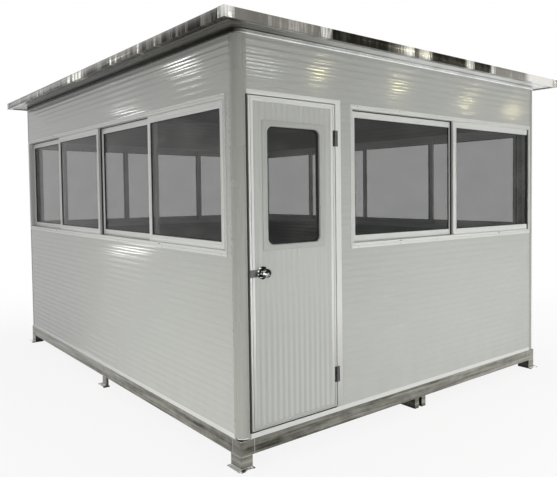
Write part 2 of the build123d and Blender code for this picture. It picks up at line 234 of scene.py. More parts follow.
# a copy of a plain solid with its edges eased by a small bevel;
# faces picked by their centres get a second finish
def easedCopy(node, slot, width, finish=None, second=None, picks=None, body="booth"):
    mesh = frame["nodes"][node].data.copy()
    mesh.materials.clear()
    work = bmesh.new()
    work.from_mesh(mesh)
    bmesh.ops.remove_doubles(work, verts=work.verts, dist=easing["merge"])
    bmesh.ops.dissolve_limit(work, angle_limit=easing["flat"], verts=work.verts, edges=work.edges)
    work.to_mesh(mesh)
    work.free()
    mesh.shade_smooth()
    piece = addPiece(f"{node}_eased", mesh, body, finish or finishes[slot], (node,))
    if second:
        centres = np.empty(len(mesh.polygons) * 3, np.float32)
        mesh.polygons.foreach_get("center", centres)
        mesh.materials.append(second.material)
        mesh.polygons.foreach_set("material_index", picks(centres.reshape(-1, 3)).astype(np.int32))
    bevel = piece.modifiers.new("easedEdges", "BEVEL")
    bevel.width = width
    bevel.segments = easing["segments"]
    bevel.limit_method = "ANGLE"
    bevel.harden_normals = True


boxes = {name: (np.array(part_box(name)[0]), np.array(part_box(name)[1])) for name in frame["nodes"]}
halfX, halfY = boxes["corner_posts"][1][0], boxes["corner_posts"][1][1]
frameTop = boxes["base_beams"][1][2]
up = np.array([0.0, 0.0, 1.0])
corners = [(x, y) for x in (-1, 1) for y in (-1, 1)]

# a wall: a point of its outer face, its direction to the right seen from outside, and outwards
walls = {
    "front": (np.array([0, -halfY, 0]), np.array([1.0, 0, 0]), np.array([0, -1.0, 0])),
    "back": (np.array([0, halfY, 0]), np.array([-1.0, 0, 0]), np.array([0, 1.0, 0])),
    "left": (np.array([-halfX, 0, 0]), np.array([0, -1.0, 0]), np.array([-1.0, 0, 0])),
    "right": (np.array([halfX, 0, 0]), np.array([0, 1.0, 0]), np.array([1.0, 0, 0])),
}


# a point on a wall: middle + along * right + height * up + out * outwards
def onWall(wall, along, height, out=0.0):
    middle, right, outwards = walls[wall]
    along, height, out = np.broadcast_arrays(along, height, out)
    return middle + along[..., None] * right + height[..., None] * up + out[..., None] * outwards


# a node's extent on a wall: (left, right, bottom, top) and (inner, outer) distance from the face
def wallExtent(wall, node):
    middle, right, outwards = walls[wall]
    low, high = boxes[node]
    along = sorted(((low - middle) @ right, (high - middle) @ right))
    out = sorted(((low - middle) @ outwards, (high - middle) @ outwards))
    return (along[0], along[1], low[2], high[2]), out


# tones that dirt and wear leave, tones of painted shade, and the grain sizes of flat boards
marks = {"dust": (0.30, 0.285, 0.25), "grimeAndShade": (0.30, 0.29, 0.27), "worn": (0.16, 0.158, 0.145),
         "glassDust": (0.24, 0.25, 0.235), "paintedShade": (0.004, 0.004, 0.004)}
boardGrains = (0.8, 0.5)


# coated sheet: a slow change of tone, faint ripples along the ribs, smudges, and dirt near the ground;
# grooves, where given, are the y of the crests and of the bottoms, and the bottoms get a painted shade low down
def sheetFinish(name, colour, dirt, polish, ripples=(0.13, 0.13, 0.012),
                smudges=(0.16, 0.16, 0.05), grooves=None):
    finish = Finish(name)
    cloud = finish.noise((1.1, 1.1, 0.7), 3.0, 0.5, 2.0)
    ripple = finish.noise(ripples, 3.0, 0.55, 5.0)
    grain = finish.noise(0.0016, 2.0, 0.5, 5.0)
    smudge = finish.rise(finish.noise(smudges, 5.0, 0.6, 9.0), 0.55, 0.85)
    splashes = finish.rise(finish.noise((0.1, 0.1, 0.35), 4.0, 0.6, 0.0), 0.35, 0.85)
    lowDirt = finish.rise(finish.z, 0.60, 0.16) * splashes
    clean = finish.mottle(cloud, colour, 0.95, 1.05)
    marked = finish.blend(smudge * 0.07 + lowDirt * dirt, clean, marks["dust"])
    if grooves:
        # painted shade in the groove bottoms, strongest below 0.6 m and gone above 1.1 m
        depth = finish.rise(finish.y, *grooves) * finish.rise(finish.z, 1.1, 0.6)
        marked = finish.blend(depth * 0.22, marked, [c * 0.35 for c in colour])
    return finish.dressed(marked, polish + cloud * 0.04 + smudge * 0.08,
                          grain * 0.00001 + ripple * 0.00012 + cloud * 0.0015)


# anodised aluminium: drawn grain along the bar, small worn spots in a grimy tone, and a painted shade in that
# tone towards the ground
def aluminiumFinish(name, colour, roughness, metallic, grimeAndShade=0.0):
    finish = Finish(name, Metallic=metallic)
    cloud = finish.noise((0.6, 0.6, 0.25), 3.0, 0.6, 3.0)
    grain = finish.noise((0.3, 0.3, 0.0012), 2.0, 0.5, 1.0)
    wear = finish.rise(finish.noise(0.03, 5.0, 0.7, 4.0), 0.62, 0.82)
    clean = finish.mottle(cloud, colour, 0.94, 1.05)
    # painted shade towards the ground, as strong as the last argument says
    low = finish.rise(finish.z, 0.85, 0.20) * grimeAndShade
    return finish.dressed(finish.blend(wear * 0.25 + low, clean, marks["grimeAndShade"]),
                          roughness - 0.04 + grain * 0.10 + wear * 0.1, grain * 0.00005)


# drawn stainless section: long soft streaks along the bar and water marks, a painted sheen that grows paler
# towards the front's right end, and a painted shade, nearly black, low on the left faces of the left feet and
# the front faces of the back feet
def drawnSteelFinish(name, dark, light, roughness):
    finish = Finish(name, Metallic=0.85)
    wide = finish.noise((0.7, 0.7, 0.022), 4.0, 0.6, 1.0)
    fine = finish.noise((0.25, 0.25, 0.0022), 2.0, 0.6, 7.0)
    blot = finish.noise((0.09, 0.09, 0.054), 5.0, 0.6, 11.0)
    # painted sheen: paler towards the right end of the front
    paintedSheen = finish.rise(finish.x, -0.2, 1.4) * finish.rise(finish.y, -halfY + 0.1, -halfY)
    tone = finish.rise(wide * 0.62 + fine * 0.14 + blot * 0.24 + paintedSheen * 0.10, 0.38, 0.64)
    facing = finish.value("NewGeometry", {}, {}, "True Normal")
    normal = finish.node("SeparateXYZ", {}, {"Vector": facing}).outputs
    # painted shade: nearly black low on the left faces at the left end and the front faces of the back feet
    shadedLeftFaces = finish.rise(normal["X"], -0.5, -0.9) * finish.rise(finish.x, -1.2, -1.0)
    shadedBackFeet = finish.rise(normal["Y"], -0.5, -0.9) * finish.rise(finish.y, 1.0, 1.2)
    paintedFootShade = finish.math("MAXIMUM", shadedLeftFaces, shadedBackFeet) * finish.rise(finish.z, 0.080, 0.076)
    return finish.dressed(finish.blend(paintedFootShade * 0.85, finish.blend(tone, dark, light), marks["paintedShade"]),
                          roughness + blot * 0.20, fine * 0.00005 + wide * 0.0006)


# mirror-polished stainless sheet with a faint buckled bump, whose colour is a painted reflection: upright
# flashes between long dull and dark stretches;
# the front stops set the run of painted reflection tones along the front from its left end (0) to its right one
# (1)
def polishedReflectionFinish(name, dark, middle, bright, share, frontReflectionStops=()):
    finish = Finish(name, Metallic=0.92)
    stretch = finish.noise((0.34, 0.34, 0.9), 2.0, 0.5, 8.0)
    flash = finish.noise((0.045, 0.045, 0.5), 3.0, 0.6, 3.0)
    line = finish.noise((0.009, 0.009, 0.12), 2.0, 0.5, 6.0)
    smear = finish.noise((0.10, 0.10, 0.016), 3.0, 0.6, 4.0)
    # painted reflection: dark, dull and bright stretches and flashes in the colour
    tone = finish.ramp(stretch * 0.48 + flash * 0.36 + line * 0.10 + smear * 0.06, [
        (0.445 - share, dark), (0.50 - share, middle),
        (0.55 - share, [m * 1.5 for m in middle]), (0.59 - share, bright)])
    if frontReflectionStops:
        place = finish.rise(finish.x + (line - 0.5) * 0.10 + (flash - 0.5) * 0.10, -1.65, 1.65)
        onFront = finish.rise(finish.y, -halfY - 0.10, -halfY - 0.12)
        tone = finish.blend(onFront * 0.82, tone, finish.ramp(place, frontReflectionStops))
    return finish.dressed(tone, 0.12 + smear * 0.14, flash * 0.0008 + smear * 0.0003)


# bright-rolled steel whose colour is a painted reflection: dull along the left wall, paler from the front's
# left end to its right one, with faint streaks
def sidedReflectionFinish(name, left, near, far, end, metallic):
    finish = Finish(name, Metallic=metallic)
    streak = finish.noise((0.5, 0.5, 0.006), 3.0, 0.6, 2.0)
    patch = finish.noise((0.16, 0.16, 0.3), 3.0, 0.5, 6.0)
    # painted reflection: one tone along the left wall, and from near to far along the front
    front = finish.blend(finish.rise(finish.x, -1.3, end), near, far)
    tone = finish.blend(finish.rise(finish.x, -halfX, -halfX + 0.08), left, front)
    wear = finish.rise(patch * 0.6 + streak * 0.4, 0.42, 0.60)
    return finish.dressed(finish.blend(wear * 0.18, tone, marks["worn"]), 0.16 + patch * 0.12,
                          streak * 0.00006 + patch * 0.0003)


# small plain parts: a fine grain and a slow change of tone
def plainFinish(name, colour, roughness, metallic):
    finish = Finish(name, Metallic=metallic)
    cloud = finish.noise(0.02, 4.0, 0.6, 2.0)
    grain = finish.noise(0.0012, 2.0, 0.5, 6.0)
    return finish.dressed(finish.mottle(cloud, colour, 0.75, 1.25), roughness + cloud * 0.12,
                          grain * 0.00006)


# small bright steel: short light and dark streaks, a painted reflection, that change over round the given level
# of the noise
def reflectionStreakFinish(name, dark, light, level, roughness):
    finish = Finish(name, Metallic=1.0)
    streak = finish.noise((0.045, 0.045, 0.015), 2.0, 0.5, 3.0)
    grain = finish.noise(0.0012, 2.0, 0.5, 6.0)
    return finish.dressed(finish.blend(finish.rise(streak, level - 0.05, level + 0.03), dark, light),
                          roughness + streak * 0.06, grain * 0.00001)


# tinted pane: body is how closed it is face on; it closes more at a glancing view,
# and has faint wiping marks, and dust low down
def paneFinish(name, tint, body):
    finish = Finish(name, Roughness=0.02, IOR=1.5, Specular_IOR_Level=0.3)
    rim = finish.math("POWER", finish.value("LayerWeight", {}, {"Blend": 0.5}, "Facing"), 4.0)
    smear = finish.rise(finish.noise((0.35, 0.35, 0.12), 4.0, 0.6, 4.0), 0.45, 0.85)
    specks = finish.rise(finish.noise((0.06, 0.06, 0.11), 4.0, 0.6, 7.0), 0.48, 0.85)
    dust = specks * finish.rise(finish.z, 1.9, 1.2)
    finish.feed(Base_Color=finish.blend(smear * 0.5 + dust * 0.3, tint, marks["glassDust"]),
                Alpha=body + rim * 0.35 + smear * 0.04 + dust * 0.04)
    finish.material.surface_render_method = "BLENDED"
    return finish


# painted reflection tones along the front fascia: (share of its length from the left, tone)
dullReflection, palerReflection = (0.17, 0.162, 0.145), (0.27, 0.26, 0.235)
darkReflection, flashReflection = (0.010, 0.010, 0.006), (0.95, 0.94, 0.88)
fasciaReflectionRun = [(0.0, palerReflection), (0.07, dullReflection), (0.14, palerReflection), (0.195, dullReflection), (0.205, flashReflection),
             (0.218, darkReflection), (0.36, darkReflection), (0.40, dullReflection), (0.43, flashReflection), (0.445, darkReflection),
             (0.475, flashReflection), (0.49, dullReflection), (0.50, darkReflection), (0.60, darkReflection), (0.625, flashReflection),
             (0.64, darkReflection), (0.69, darkReflection), (0.705, flashReflection), (0.72, palerReflection), (0.84, palerReflection),
             (0.87, flashReflection), (0.97, flashReflection), (1.0, dullReflection)]

finishes = {
    "wall_panel": sheetFinish("coatedSheet", (0.465, 0.475, 0.455), 0.20, 0.06),
    "post_metal": sheetFinish("postSheet", (0.355, 0.36, 0.335), 0.25, 0.25,
                              (0.015, 0.015, 0.4), (0.03, 0.03, 0.5)),
    "roof_sheet": sheetFinish("roofSheet", (0.46, 0.465, 0.455), 0.0, 0.35),
    "window_metal": aluminiumFinish("windowAluminium", (0.67, 0.68, 0.665), 0.34, 0.2),
    # the door's aluminium takes a painted shade towards the ground
    "door_metal": aluminiumFinish("doorAluminium", (0.71, 0.72, 0.705), 0.30, 0.2, 0.60),
    "galvanised_steel": drawnSteelFinish("baseSteel", (0.042, 0.040, 0.031), (0.37, 0.365, 0.32), 0.22),
    "foot_plate": reflectionStreakFinish("plateSteel", (0.10, 0.10, 0.09), (0.96, 0.96, 0.95), 0.42, 0.45),
    "fascia_metal": polishedReflectionFinish("roofTrimSteel", (0.014, 0.013, 0.009), (0.13, 0.125, 0.11),
                                   (0.92, 0.91, 0.84), -0.012, fasciaReflectionRun),
    "glass": paneFinish("windowGlass", (0.008, 0.011, 0.010), 0.30),
    "dark_metal": plainFinish("blackSteel", (0.030, 0.030, 0.028), 0.36, 0.5),
    "knob_metal": reflectionStreakFinish("knobChrome", (0.015, 0.015, 0.014), (0.95, 0.95, 0.93), 0.60, 0.10),
    "floor_board": sheetFinish("floorSheet", (0.05, 0.047, 0.04), 0.0, 0.45, *boardGrains),
}
# black rubber for the gaskets, also used for black strips that are painted shade in gaps and recesses
rubberAndShadeFinish = plainFinish("blackRubberAndShade", (0.008, 0.008, 0.008), 0.55, 0.0)
cornerCapFinish = polishedReflectionFinish("capSteel", (0.24, 0.24, 0.22), (0.48, 0.48, 0.46),
                                 (0.88, 0.88, 0.86), 0.02)
soffitFinish = sidedReflectionFinish("soffitSteel", (0.115, 0.111, 0.095), (0.14, 0.137, 0.12),
                           (0.96, 0.96, 0.94), -0.3, 0.15)
corniceFinish = sidedReflectionFinish("corniceSteel", (0.02, 0.02, 0.017), (0.84, 0.85, 0.83),
                            (0.97, 0.98, 0.98), 0.0, 0.9)
# the ceiling boards are near black: a painted shade for the dim inside
shadedCeilingFinish = sheetFinish("shadedCeilingSheet", (0.013, 0.014, 0.013), 0.0, 0.40, *boardGrains)
barrelFinish = plainFinish("hingeSteel", (0.15, 0.15, 0.145), 0.25, 1.0)
latchFinish = plainFinish("latchSteel", (0.17, 0.17, 0.165), 0.25, 1.0)
weldFinish = plainFinish("weldSteel", (0.50, 0.50, 0.48), 0.25, 1.0)

for entry in frame["record"]["subparts"]:
    node = frame["nodes"][entry["node"]]
    node.data.materials.clear()
    node.data.materials.append(finishes[entry["material_slot"]].material)
print("finishes", len(finishes))


# base frame and feet: the solids with eased edges, and the weld beads that join them;
# X and Y say how far a seam reaches from a corner along those axes
baseFrame = {"beamEdge": 3.0 * mm, "cornerEdge": 1.5 * mm, "footEdge": 1.2 * mm, "plateTop": 9 * mm,
             "cornerReach": 30 * mm}
weld = {"radius": 1.6 * mm, "ripple": 5 * mm, "swell": 0.3, "samples": 4, "sides": 8, "topGap": 1 * mm,
        "legStart": 4 * mm, "legX": 70 * mm, "legY": 105 * mm,
        "plateStart": 2 * mm, "plateX": 74 * mm, "plateY": 110 * mm, "plateHeight": 8 * mm}

for node in ("base_beams", "floor_joists"):
    easedCopy(node, "galvanised_steel", baseFrame["beamEdge"])
# the corners' top faces take the bright plate finish: a painted highlight on the frame's top
easedCopy("frame_corners", "galvanised_steel", baseFrame["cornerEdge"], None,
          finishes["foot_plate"], lambda centre: centre[:, 2] > frameTop - weld["topGap"])
for node in ("corner_legs", "middle_feet"):
    easedCopy(node, "galvanised_steel", baseFrame["footEdge"], None,
              finishes["foot_plate"], lambda centre: centre[:, 2] < baseFrame["plateTop"])


# a weld bead along a straight seam: a tube whose radius swells once per ripple,
# radius(s) = r * (1 + swell * |sin(pi * s / ripple)|)
def weldBead(start, end, axisU, axisV):
    steps = int(np.linalg.norm(end - start) / weld["ripple"] * weld["samples"]) + 2
    t = np.linspace(0, 1, steps)[:, None]
    swell = 1 + weld["swell"] * np.abs(np.sin(np.pi * t * (steps - 1) / weld["samples"]))
    turn = np.linspace(0, 2 * math.pi, weld["sides"], endpoint=False)
    ring = np.stack([np.cos(turn), np.sin(turn)], 1) * weld["radius"]
    return carry(ring, start + t * (end - start), axisU * swell, axisV * swell)


cornerSize = halfX - abs(boxes["floor_joists"][0][0]) + baseFrame["cornerReach"]
seamLow, seamHigh = boxes["frame_corners"][0][2] * up, (frameTop - weld["topGap"]) * up
plateHeight = weld["plateHeight"] * up
shells = []
for sideX, sideY in corners:
    corner = np.array([sideX * halfX, sideY * halfY, 0.0])
    inX, inY = np.array([-sideX, 0.0, 0.0]), np.array([0.0, -sideY, 0.0])
    for along, across, axis in ((inX, inY, "X"), (inY, inX, "Y")):
        joint = corner + along * cornerSize
        shells.append(weldBead(joint + seamLow, joint + seamHigh, inX, inY))
        for seam, height in (("leg", seamLow), ("plate", plateHeight)):
            start, end = (corner + along * weld[seam + key] + height for key in ("Start", axis))
            shells.append(weldBead(start, end, across, up))
makePiece("frame_welds", shells, "galvanised_steel", finish=weldFinish)
print("base frame done")


# sill strips under the walls: (out, up) outline with a rounded lip along the top
track = {"lip": 11 * mm, "recess": 1.2 * mm, "depth": 70 * mm}
low, high = boxes["wall_tracks"][0][2], boxes["wall_tracks"][1][2]
lip = high - track["lip"]
outline = [(-track["depth"], low), (-track["recess"], low), (-track["recess"], lip), (-0.3 * mm, lip + 1 * mm),
           (0, lip + 2 * mm), (0, high - 2 * mm), (-0.6 * mm, high - 0.6 * mm), (-2 * mm, high),
           (-track["depth"], high)]
shells = []
for wall in walls:
    left, right = wallExtent(wall, f"{wall}_upper_panel")[0][:2]
    shells.append(carry(outline, onWall(wall, np.array([left, right]), 0.0), walls[wall][2], up))
makePiece("wall_tracks_lipped", shells, "window_metal", ("wall_tracks",))

ribs = {"pitch": 43.5 * mm, "depth": 1.7 * mm, "softness": 0.28, "perRib": 32, "phase": 5 * mm}


# depth below the face: n(s) = -depth / 2 * (1 - w / sqrt(w^2 + soft^2) * sqrt(1 + soft^2)),
# with w = sin(2 pi (s - phase) / pitch)
def ribWave(s, pitch, depth, soft):
    w = np.sin(2 * math.pi * (s - ribs["phase"]) / pitch)
    return -depth / 2 * (1 - w / np.sqrt(w * w + soft * soft) * math.sqrt(1 + soft * soft))


# closed profile (out, s) of a sandwich panel: (outer + n(s), s) along its outer face and
# (inner - n(s), s) back along its inner one; shape is the ribs' pitch, depth and softness
def ribbedProfile(low, high, outer, inner, *shape):
    pitch = shape[0]
    count = max(4, int((high - low) / pitch * ribs["perRib"]))
    s = np.linspace(low, high, count)
    outside = np.stack([outer + ribWave(s, *shape), s], 1)
    inside = np.stack([inner - ribWave(s, *shape), s], 1)[::-1]
    return np.concatenate([outside, inside])


# that profile, stood upright and carried along the wall from left to right
def ribbedShell(wall, left, right, bottom, top, out):
    profile = ribbedProfile(bottom, top, out[1], out[0], ribs["pitch"], ribs["depth"], ribs["softness"])
    return carry(profile, onWall(wall, np.array([left, right]), 0.0), walls[wall][2], up)


# a panel of one or more (left, right, bottom, top) spans
def ribbedPanel(wall, node, spans=None):
    extent, out = wallExtent(wall, node)
    shells = [ribbedShell(wall, *span, out) for span in spans or [extent]]
    makePiece(f"{node}_ribbed", shells, "wall_panel", (node,))


for wall in walls:
    for level in ("upper", "lower"):
        spans = None
        if (wall, level) == ("front", "upper"):
            left, right, bottom, top = wallExtent(wall, "front_upper_panel")[0]
            jamb = wallExtent("front", "door_frame")[0]
            spans = [(left, jamb[1], jamb[3], top), (jamb[1], right, bottom, top)]
        ribbedPanel(wall, f"{wall}_{level}_panel", spans)
for wall, node in (("front", "front_pier"), ("left", "left_front_strip"), ("right", "right_front_strip")):
    ribbedPanel(wall, node)
print("ribbed panels done")


# corner posts: a rounded corner between two flat flanges, with a bead beside each panel
post = {"radius": 45 * mm, "groove": 1.2 * mm, "grooveWidth": 2.4 * mm, "lip": 4 * mm, "arc": 16, "crisp": 25,
        "gapLow": 0.5 * mm, "gapHigh": 8 * mm, "rim": 4 * mm, "wrap": 0.15}


# plan of one post from its corner inwards: a flange, an arc (r - r sin a, r - r cos a),
# and the flange mirrored about the diagonal
def postPlan(size):
    r, g, w = post["radius"], post["groove"], post["grooveWidth"]
    turn = np.linspace(0, math.pi / 2, post["arc"])
    arc = np.stack([r - r * np.sin(turn), r - r * np.cos(turn)], 1)
    flange = [(size, g), (size - 1.5 * mm, g), (size - 2.2 * mm, 0.3 * mm), (size - 3 * mm, 0),
              (r + post["lip"] + w, 0), (r + post["lip"] + w / 2, g), (r + post["lip"], 0)]
    mirrored = [(y, x) for x, y in flange[::-1]]
    return np.concatenate([flange, arc, mirrored, [(size, size)]])


postSize = halfX - wallExtent("front", "front_lower_panel")[0][1]
postLow, postHigh = boxes["corner_posts"]
plan = postPlan(postSize)
shells = []
for sideX, sideY in corners:
    ends = [[sideX * halfX, sideY * halfY, z] for z in (postLow[2], postHigh[2])]
    shells.append(carry(plan, ends, (-sideX, 0, 0), (0, -sideY, 0)))
makePiece("corner_posts_profiled", shells, "post_metal", ("corner_posts",), sharp=post["crisp"])


# the foot of each post: a black band along its rounded corner, painted shade for the gap there, with a bright
# rim above and below as a painted highlight
turn = np.linspace(-post["wrap"], math.pi / 2 + post["wrap"], post["arc"])
gapLow, gapHigh, rimHigh = post["gapLow"], post["gapHigh"], post["gapHigh"] + post["rim"]
shadeBandOutline = [(-6 * mm, gapLow), (0.4 * mm, gapLow), (0.4 * mm, gapHigh), (-6 * mm, gapHigh)]
highlightRimOutline = [(-2 * mm, gapHigh), (0.9 * mm, gapHigh), (1.4 * mm, gapHigh + 1 * mm),
              (1.4 * mm, rimHigh - 1 * mm), (0.5 * mm, rimHigh), (-2 * mm, rimHigh)]
shadeBands, highlightRims = [], []
for sideX, sideY in corners:
    outward = np.column_stack([sideX * np.cos(turn), sideY * np.sin(turn), np.zeros(len(turn))])
    centre = np.array([sideX * (halfX - post["radius"]), sideY * (halfY - post["radius"]), frameTop])
    path = centre + outward * post["radius"]
    shadeBands.append(carry(shadeBandOutline, path, outward, up))
    highlightRims.append(carry(highlightRimOutline, path, outward, up))
makePiece("post_foot_shade_bands", shadeBands, "dark_metal", finish=rubberAndShadeFinish)
makePiece("post_foot_highlight_rims", highlightRims, "galvanised_steel", finish=finishes["foot_plate"])


# the point (along, height) of a wall, once per step, and the directions cos a * right + sin a * up round it
def aroundAxis(wall, along, height, steps):
    angle = np.linspace(0, 2 * math.pi, steps, endpoint=False)
    radial = np.cos(angle)[:, None] * walls[wall][1] + np.sin(angle)[:, None] * up
    return np.repeat(onWall(wall, along, height)[None], steps, 0), radial


# a lathe on a wall, of a (radius, depth) profile turned round the axis through (along, height):
# point = axis + radius * (cos a * right + sin a * up) + depth * outwards
def turned(wall, along, height, profile, steps):
    origins, radial = aroundAxis(wall, along, height, steps)
    profile = np.asarray(profile)
    points = (origins[:, None] + profile[None, :, :1] * radial[:, None]
              + profile[None, :, 1:] * walls[wall][2])
    cols = len(profile)
    faces = gridFaces(steps, cols, True, False).tolist()
    faces.append([i * cols for i in range(steps)])
    faces.append([i * cols + cols - 1 for i in range(steps)][::-1])
    return points.reshape(-1, 3), faces


rivets = {"heights": 5, "inset": 60 * mm, "end": 110 * mm, "radius": 3.2 * mm, "rise": 0.35, "foot": 1 * mm}


# (radius, out) of a rivet: a dome (r sin a, face + rise * r cos a), then its foot, sunk in the face
def rivet(radius, face=0.0):
    turn = np.linspace(0.05, math.pi / 2, 5)
    dome = np.stack([radius * np.sin(turn), face + radius * rivets["rise"] * np.cos(turn)], 1)
    return np.concatenate([dome, [(radius, face - rivets["foot"])]])


shells = []
for wall in walls:
    edge = wallExtent(wall, f"{wall}_upper_panel")[0][1] + postSize - rivets["inset"]
    for height in np.linspace(postLow[2] + rivets["end"], postHigh[2] - rivets["end"], rivets["heights"]):
        for side in (-1, 1):
            shells.append(turned(wall, side * edge, height, rivet(rivets["radius"]), 10))
makePiece("post_rivets", shells, "post_metal", finish=barrelFinish)
print("posts done")


sash = {"stile": 42 * mm, "topRail": 48 * mm, "bottomRail": 45 * mm, "thickness": 22 * mm, "setback": 8 * mm,
        "trackGap": 6 * mm, "seal": 7 * mm, "tuck": 1 * mm, "brush": 9 * mm, "brushTuck": 8 * mm,
        "groove": 7 * mm, "endStrip": 15 * mm, "stripFace": 0.4 * mm}
surround = {"side": 16 * mm, "head": 30 * mm, "sill": 37 * mm}
drain = {"places": (0.22, 0.78), "length": 28 * mm, "low": 11 * mm, "high": 7 * mm, "face": 0.2 * mm}
screws = {"radius": 3 * mm, "end": 60 * mm, "count": 6, "inset": 9 * mm, "sunk": 0.8 * mm}

# each window: the sashes in its outer track, and how far every sash stands off its closed place
windowPlan = {
    "front": ((1,), (12 * mm, 27 * mm)),
    "back": ((1,), (0.0, 0.0, 0.0)),
    "left": ((1, 3), (0.0, -34 * mm, 0.0, -25 * mm)),
    "right": ((0, 2), (25 * mm, 0.0, 34 * mm, 0.0)),
}


# a rectangular ring with mitred corners, of bars as wide as widths says (left, right, bottom, top):
# point = corner + t * (width of that stile, width of that rail) + n * outwards,
# with t = 0 at the outer edge and 1 at the inner one
def mitredRing(wall, extent, widths, profile):
    left, right, bottom, top = extent
    leftBar, rightBar = widths[0] * walls[wall][1], widths[1] * walls[wall][1]
    bottomBar, topBar = widths[2] * up, widths[3] * up
    ringCorners = onWall(wall, np.array([left, right, right, left]), np.array([bottom, bottom, top, top]))
    inward = [leftBar + bottomBar, bottomBar - rightBar, -rightBar - topBar, leftBar - topBar]
    return carry(profile, ringCorners, inward, walls[wall][2], True)


# (t, n) outline of a bar from (t, depth in millimetres) pairs:
# n = front - depth for the first list, and back + depth for the second
def barOutline(front, back, fromFront, fromBack):
    return ([(t, front - depth * mm) for t, depth in fromFront]
            + [(t, back + depth * mm) for t, depth in fromBack])


# a sash bar: a raised outer lip, a shallow channel, and a glazing bead on each side
def sashProfile(front, back):
    return barOutline(front, back,
                      [(0, 3), (0.08, 3), (0.10, 0.6), (0.13, 0), (0.60, 0), (0.62, 3), (0.67, 3), (0.69, 0.2),
                       (0.94, 1.8), (1, 5)],
                      [(1, 5), (0.94, 1.8), (0.75, 0), (0.13, 0), (0.10, 3), (0, 3)])


# the surround: a flange on the wall, a groove, a nose, and a step down into the tracks
def surroundProfile(back, front):
    return barOutline(front, back,
                      [(0, 2.5), (0.04, 1), (0.12, 0.6), (0.43, 0.6), (0.45, 5), (0.56, 5), (0.58, 0.3),
                       (0.64, 0), (0.86, 0), (0.94, 1), (1, 4)],
                      [(1, 6), (0.9, 1), (0.8, 0), (0, 0)])


# a slim strip on a wall: the rectangle between two places along it and two distances out, carried upwards
def uprightStrip(wall, alongLow, alongHigh, bottom, top, outLow, outHigh):
    outline = [(alongLow, outLow), (alongHigh, outLow), (alongHigh, outHigh), (alongLow, outHigh)]
    ends = onWall(wall, 0.0, np.array([bottom, top]))
    return carry(outline, ends, walls[wall][1], walls[wall][2])


for wall, (outerSashes, slides) in windowPlan.items():
    extent, out = wallExtent(wall, f"{wall}_window_frame")
    side, head, sill = surround["side"], surround["head"], surround["sill"]
    ring = mitredRing(wall, extent, (side, side, sill, head), surroundProfile(*out))
    makePiece(f"{wall}_window_frame_profiled", [ring], "window_metal", (f"{wall}_window_frame",))
    left, right = extent[0] + side, extent[1] - side
    bottom, top = extent[2] + sill, extent[3] - head
    stile, topRail, bottomRail, tuck = (sash[key] for key in ("stile", "topRail", "bottomRail", "tuck"))
    width = (right - left + (len(slides) - 1) * stile) / len(slides)
    bars, darkStrips = [], []
    for number, slide in enumerate(slides):
        start = left + number * (width - stile) + slide
        end = start + width
        setback = sash["setback"] + (0 if number in outerSashes else sash["thickness"] + sash["trackGap"])
        front, back = -setback, -setback - sash["thickness"]
        area = (max(start, left), min(end, right), bottom, top)
        stiles = (start + stile - area[0], area[1] - end + stile)
        bars.append(mitredRing(wall, area, (*stiles, bottomRail, topRail), sashProfile(front, back)))
        glazed = (start + stile - tuck, end - stile + tuck, bottom + bottomRail - tuck, top - topRail + tuck)
        bead = barOutline(front, back, [(0, 5.2), (0.6, 4), (1, 7)], [(1, 8), (0.5, 5), (0, 7)])
        darkStrips.append(mitredRing(wall, glazed, (sash["seal"],) * 4, bead))
        if number not in outerSashes:  # a black strip over an inner sash's top rail: painted shade for the recessed head
            darkStrips.append(uprightStrip(wall, area[0] + tuck, area[1] - tuck, top - sash["groove"],
                                      top - 0.5 * mm, front - 5 * mm, front + sash["stripFace"]))
        else:  # brush strips behind an outer sash, reaching past its edge: a real brush seal, widened into painted shade at the meeting stile
            for edge, inwards in ((start, 1), (end, -1)):
                if left < edge < right:
                    brush = sorted((edge - inwards * sash["brush"], edge + inwards * sash["brushTuck"]))
                    darkStrips.append(uprightStrip(wall, *brush, bottom + 2 * mm, top - 2 * mm,
                                              back - sash["trackGap"] + tuck, back + tuck))
    # a black strip over the front window's right stile: painted shade for its pocket in the jamb
    if wall == "front":
        darkStrips.append(uprightStrip(wall, right - sash["endStrip"], right - tuck, bottom + 2 * mm, top - 2 * mm,
                                  front - 6 * mm, front + sash["stripFace"]))
    makePiece(f"{wall}_window_sashes_profiled", bars, "window_metal", (f"{wall}_window_sashes",))
    # black slots on the sill's face: painted shade for the drain holes
    for place in drain["places"]:
        middle = extent[0] + place * (extent[1] - extent[0])
        darkStrips.append(uprightStrip(wall, middle - drain["length"] / 2, middle + drain["length"] / 2,
                                  bottom - drain["low"], bottom - drain["high"], front, out[1] + drain["face"]))
    makePiece(f"{wall}_window_seals_and_shades", darkStrips, "dark_metal", finish=rubberAndShadeFinish)
    heads = [turned(wall, along, height, rivet(screws["radius"], out[1] - screws["sunk"]), 8)
             for along in np.linspace(extent[0] + screws["end"], extent[1] - screws["end"], screws["count"])
             for height in (extent[2] + screws["inset"], extent[3] - screws["inset"])]
    makePiece(f"{wall}_window_screws", heads, "window_metal", finish=barrelFinish)
print("windows done")


# grooves are shares of the height, from one edge to the other, with sides as wide as slope
cornice = {"radius": 51 * mm, "arc": 12, "depth": 50 * mm, "gapHeight": 4 * mm, "gapDepth": 10 * mm,
           "groove": 5 * mm, "grooves": ((0.27, 0.39), (0.58, 0.70)), "slope": 0.02}


